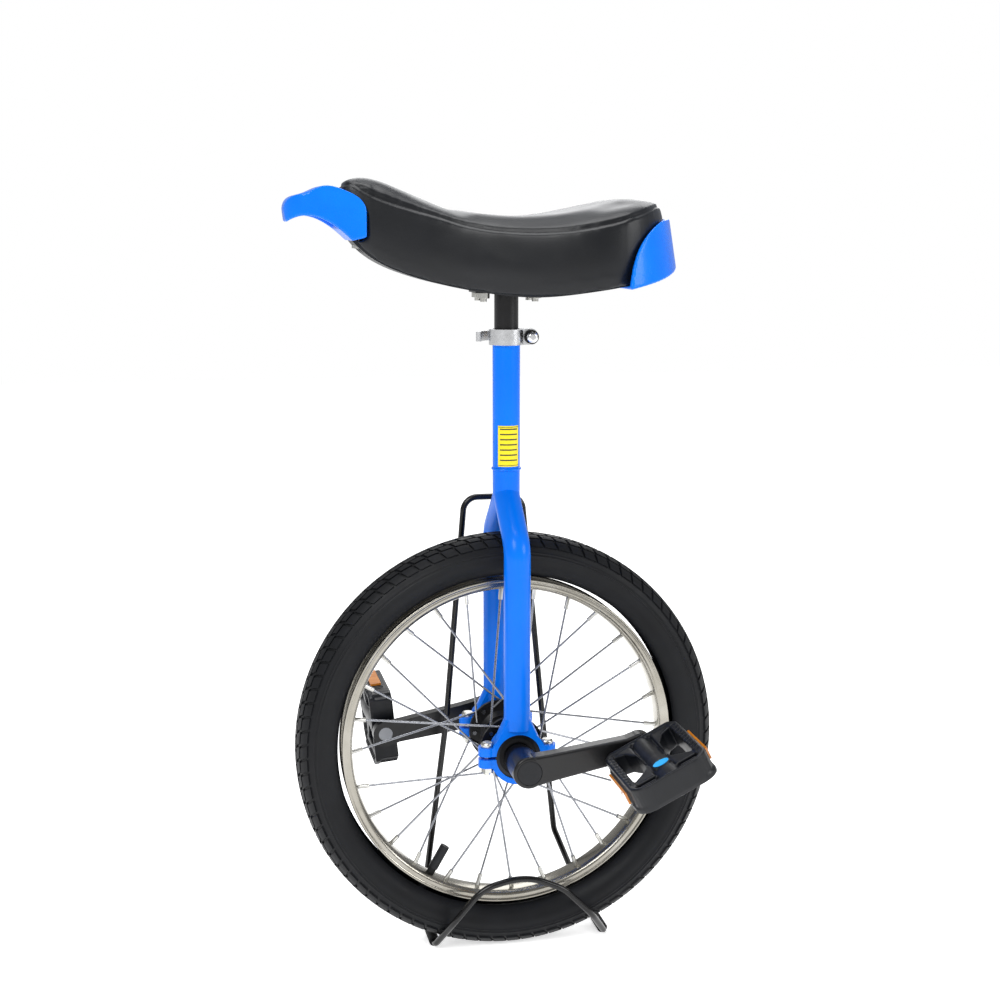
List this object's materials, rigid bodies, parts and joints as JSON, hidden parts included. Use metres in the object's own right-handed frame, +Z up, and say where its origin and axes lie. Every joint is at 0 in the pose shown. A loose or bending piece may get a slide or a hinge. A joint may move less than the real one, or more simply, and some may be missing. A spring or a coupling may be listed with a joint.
{
  "type": "unicycle",
  "caption": "Learner's unicycle with padded saddle, spoked wheel, fixed cranks and platform pedals, parked in a bent-wire stand.",
  "frame": {"origin": "on the ground under the middle of the axle", "axes": "+X forward, +Y to the rider's left, +Z up"},
  "size_m": [0.4039, 0.432, 0.7301],
  "materials": {
    "blue_enamel": "gloss stoved enamel",
    "black_enamel": "satin black enamel",
    "zinc_steel": "bright zinc plate",
    "bearing_steel": "ground bearing steel",
    "black_rubber": "matt moulded rubber",
    "yellow_label": "printed vinyl label, plain bars",
    "spoke_steel": "drawn bright wire",
    "nipple_plate": "nickel plate",
    "rim_chrome": "polished chrome plate",
    "tyre_rubber": "moulded tread",
    "black_plastic": "moulded, fine grain",
    "amber_lens": "clear amber lens over prisms",
    "cast_alloy": "polished cast alloy",
    "brass": "plain turned",
    "blue_plastic": "gloss moulded",
    "black_vinyl": "sewn vinyl, fine grain",
    "black_wire": "gloss dipped wire"
  },
  "bodies": {
    "frame": {"fork_crown": "blue_enamel", "seat_tube": "blue_enamel", "fork_leg_left": "blue_enamel", "fork_leg_right": "blue_enamel", "bearing_holder_left": "blue_enamel", "bearing_holder_right": "blue_enamel", "bearing_cap_left": "blue_enamel", "bearing_cap_right": "blue_enamel", "clamp_bolts": "zinc_steel", "clamp_nuts": "zinc_steel", "bearing_outer_rings": "bearing_steel", "bearing_balls": "bearing_steel", "bearing_seals": "black_rubber", "info_sticker": "yellow_label"},
    "wheel": {"hub_shell": "black_enamel", "axle": "black_enamel", "bearing_inner_rings": "bearing_steel", "spokes": "spoke_steel", "spoke_nipples": "nipple_plate", "rim": "rim_chrome", "rim_tape": "black_rubber", "tyre": "tyre_rubber", "inner_tube": "black_rubber", "valve_stem": "black_rubber", "crank_left": "black_enamel", "crank_right": "black_enamel", "crank_bolts": "zinc_steel", "crank_caps": "black_plastic", "pedal_spindle_left": "bearing_steel", "pedal_spindle_right": "bearing_steel", "pedal_nut_left": "zinc_steel", "pedal_nut_right": "zinc_steel"},
    "valve_cap": {"valve_cap": "black_plastic"},
    "pedal_left": {"pedal_body_left": "black_plastic", "pedal_bushes_left": "black_plastic", "pedal_reflectors_left": "amber_lens"},
    "pedal_right": {"pedal_body_right": "black_plastic", "pedal_bushes_right": "black_plastic", "pedal_reflectors_right": "amber_lens"},
    "collar": {"seat_collar": "cast_alloy", "qr_skewer": "zinc_steel", "qr_cam_washer": "brass"},
    "qr_lever": {"qr_lever": "cast_alloy", "qr_cam_pin": "zinc_steel"},
    "qr_nut": {"qr_nut": "cast_alloy", "qr_nut_ring": "black_rubber"},
    "seat": {"seat_post": "black_enamel", "seat_plate": "black_enamel", "saddle_base": "black_plastic", "saddle_cushion": "black_vinyl", "saddle_handle": "blue_plastic", "saddle_bumper": "blue_plastic", "saddle_bolts": "zinc_steel", "saddle_nuts": "zinc_steel", "trim_screws": "zinc_steel"},
    "stand": {"stand_loop": "black_wire", "stand_arch": "black_wire", "stand_feet": "black_rubber"}
  },
  "joints": [
    {"name": "wheel_spin", "type": "hinge", "parent": "frame", "child": "wheel", "pos_m": [0, 0, 0.201], "axis": [0, 1, 0], "continuous": true},
    {"name": "pedal_left_spin", "type": "hinge", "parent": "wheel", "child": "pedal_left", "pos_m": [-0.1034, 0.16, 0.21923], "axis": [0, 1, 0], "continuous": true},
    {"name": "pedal_right_spin", "type": "hinge", "parent": "wheel", "child": "pedal_right", "pos_m": [0.1034, -0.16, 0.18277], "axis": [0, 1, 0], "continuous": true},
    {"name": "valve_cap_pull", "type": "slide", "parent": "wheel", "child": "valve_cap", "axis": [-0.5, 0, 0.866], "range_m": [0, 0.03]},
    {"name": "seat_turn", "type": "hinge", "parent": "frame", "child": "collar", "pos_m": [0, 0, 0.58], "axis": [0, 0, 1], "continuous": true},
    {"name": "seat_height", "type": "slide", "parent": "collar", "child": "seat", "axis": [0, 0, 1], "range_m": [-0.018, 0.08]},
    {"name": "qr_lever_swing", "type": "hinge", "parent": "collar", "child": "qr_lever", "pos_m": [-0.02195, -0.013, 0.58425], "axis": [0, 0, -1], "range_deg": [0, 140]},
    {"name": "qr_nut_turn", "type": "hinge", "parent": "collar", "child": "qr_nut", "pos_m": [-0.02195, 0.01, 0.58425], "axis": [0, 1, 0], "continuous": true},
    {"name": "stand_drop", "type": "slide", "parent": "frame", "child": "stand", "axis": [0, 0, -1], "range_m": [0, 0.19]}
  ]
}
